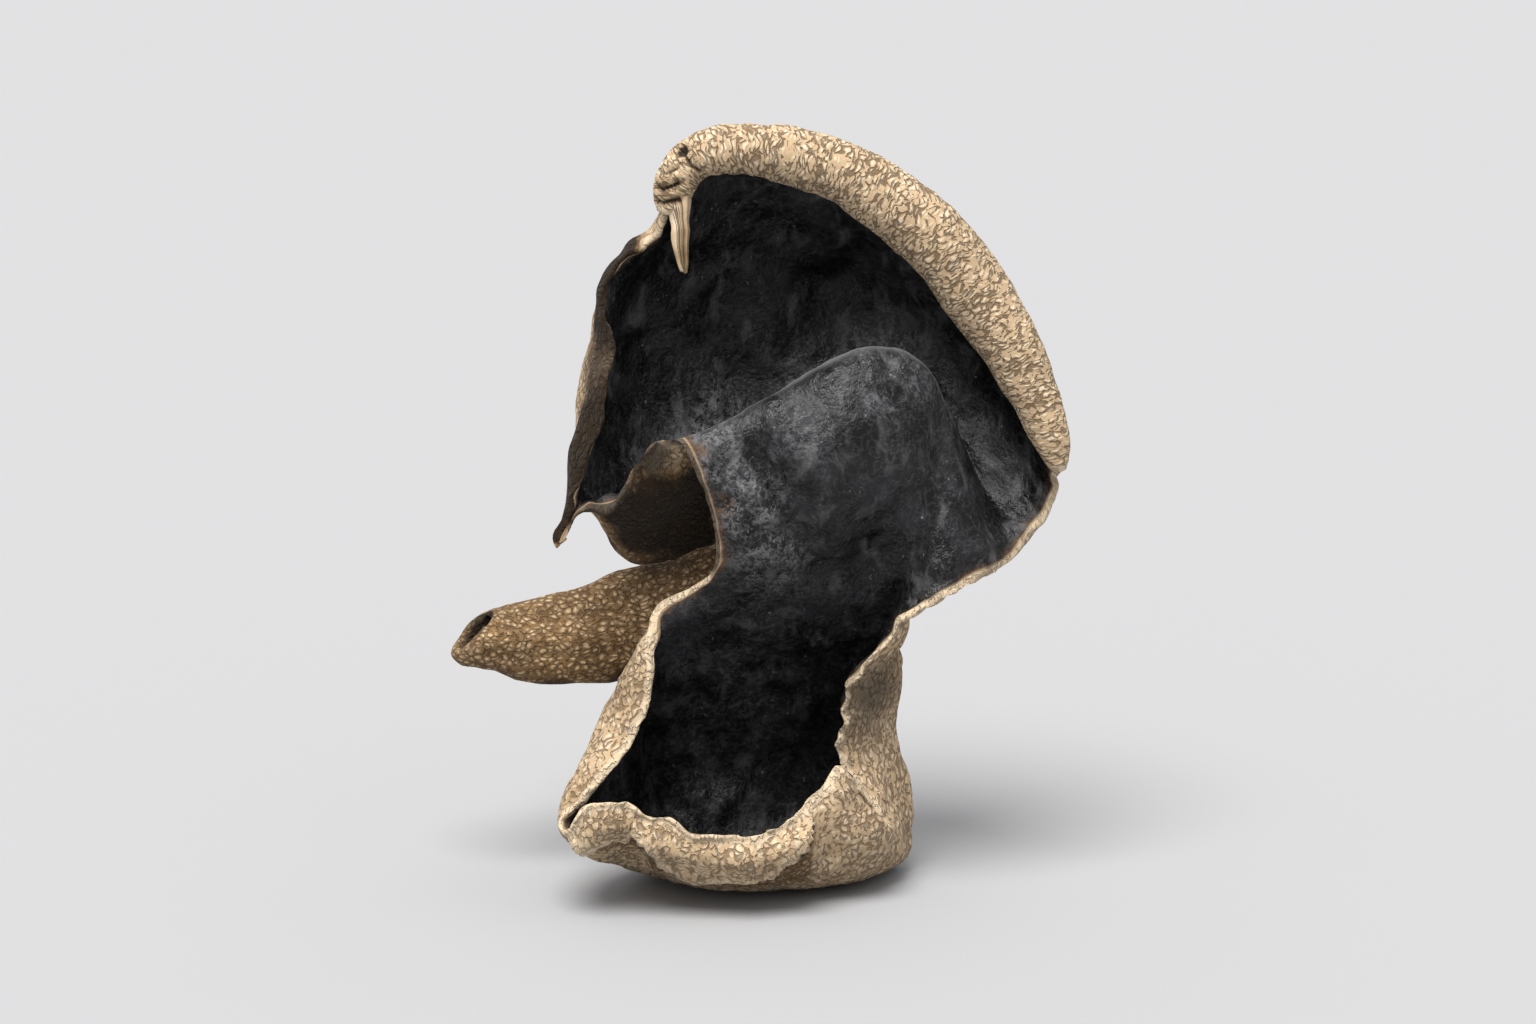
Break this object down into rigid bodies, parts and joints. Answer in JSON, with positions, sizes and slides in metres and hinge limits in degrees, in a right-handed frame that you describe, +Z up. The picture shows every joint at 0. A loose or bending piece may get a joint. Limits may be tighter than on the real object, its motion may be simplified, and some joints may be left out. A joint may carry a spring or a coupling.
{
  "type": "dried wood ear mushroom",
  "caption": "Single dried wood ear: a crumpled leathery sheet with a rolled top margin, a hood, a folded ridge, a scoop that it stands on and a hollow tapered base.",
  "frame": {"origin": "on the floor, in the flat spot under the scoop that the ear stands on", "axes": "+Z up from the floor to the rolled top margin, -Y the way the smooth black face looks, +X to the right as the face is seen"},
  "size_m": [0.042, 0.0207, 0.0521],
  "materials": {
    "ear_tissue": "dry, felted on the back and satin black on the face"
  },
  "bodies": {
    "root": {"wood_ear": "ear_tissue"}
  },
  "joints": []
}
